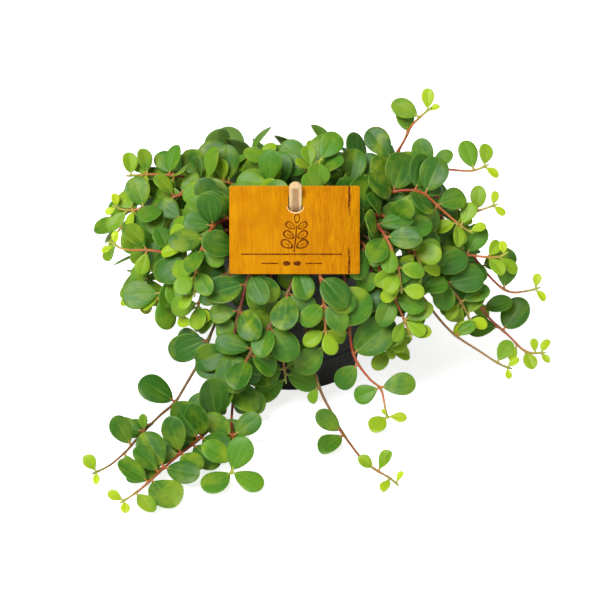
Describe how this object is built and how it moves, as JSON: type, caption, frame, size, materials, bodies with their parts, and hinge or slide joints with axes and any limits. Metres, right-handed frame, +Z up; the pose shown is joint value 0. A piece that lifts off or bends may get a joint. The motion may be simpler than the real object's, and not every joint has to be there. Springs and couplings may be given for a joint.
{
  "type": "potted round-leaf peperomia",
  "caption": "Trailing round-leaf peperomia in a dark nursery pot, its stems arching over the rim and along the surface, with a wooden tag held on a stake in the soil.",
  "frame": {"origin": "centre of the pot's underside, on the surface that it stands on", "axes": "+Z up, -Y towards the front, where the tag faces, +X to the right seen from the front"},
  "size_m": [0.2546, 0.3014, 0.1598],
  "materials": {
    "pot": "matte moulded",
    "soil": "damp peat and bark",
    "tag": "oiled veneer with a burnt-in sprig",
    "stake": "raw pale wood",
    "foliage": "waxy succulent leaf on red-brown stems"
  },
  "bodies": {
    "root": {"pot": "pot", "soil": "soil", "stake": "stake", "tag": "tag", "tallShoot": "foliage", "upperRight": "foliage", "darkRedRight": "foliage", "midRight": "foliage", "lowRight": "foliage", "hangRight": "foliage", "longRight": "foliage", "farRight": "foliage", "farRightUpper": "foliage", "frontRight": "foliage", "frontCentre": "foliage", "frontLeftLong": "foliage", "frontLeft": "foliage", "frontNear": "foliage", "underTagLeft": "foliage", "underTagRight": "foliage", "centreRight": "foliage", "centreLow": "foliage", "besideTagRight": "foliage", "besideTagLeft": "foliage", "tagEdgeLeft": "foliage", "tagEdgeRight": "foliage", "leftLower": "foliage", "leftTip": "foliage", "leftRed": "foliage", "leftLow": "foliage", "leftUpper": "foliage", "leftSide": "foliage", "topShoot": "foliage", "crown1a": "foliage", "crown1b": "foliage", "crown1c": "foliage", "crown2a": "foliage", "crown2b": "foliage", "crown2c": "foliage", "crown2d": "foliage", "crown2e": "foliage", "crown2f": "foliage", "backa": "foliage", "backb": "foliage", "backc": "foliage", "backd": "foliage", "backe": "foliage", "backf": "foliage", "backg": "foliage", "backh": "foliage", "backi": "foliage", "backj": "foliage"}
  },
  "joints": []
}
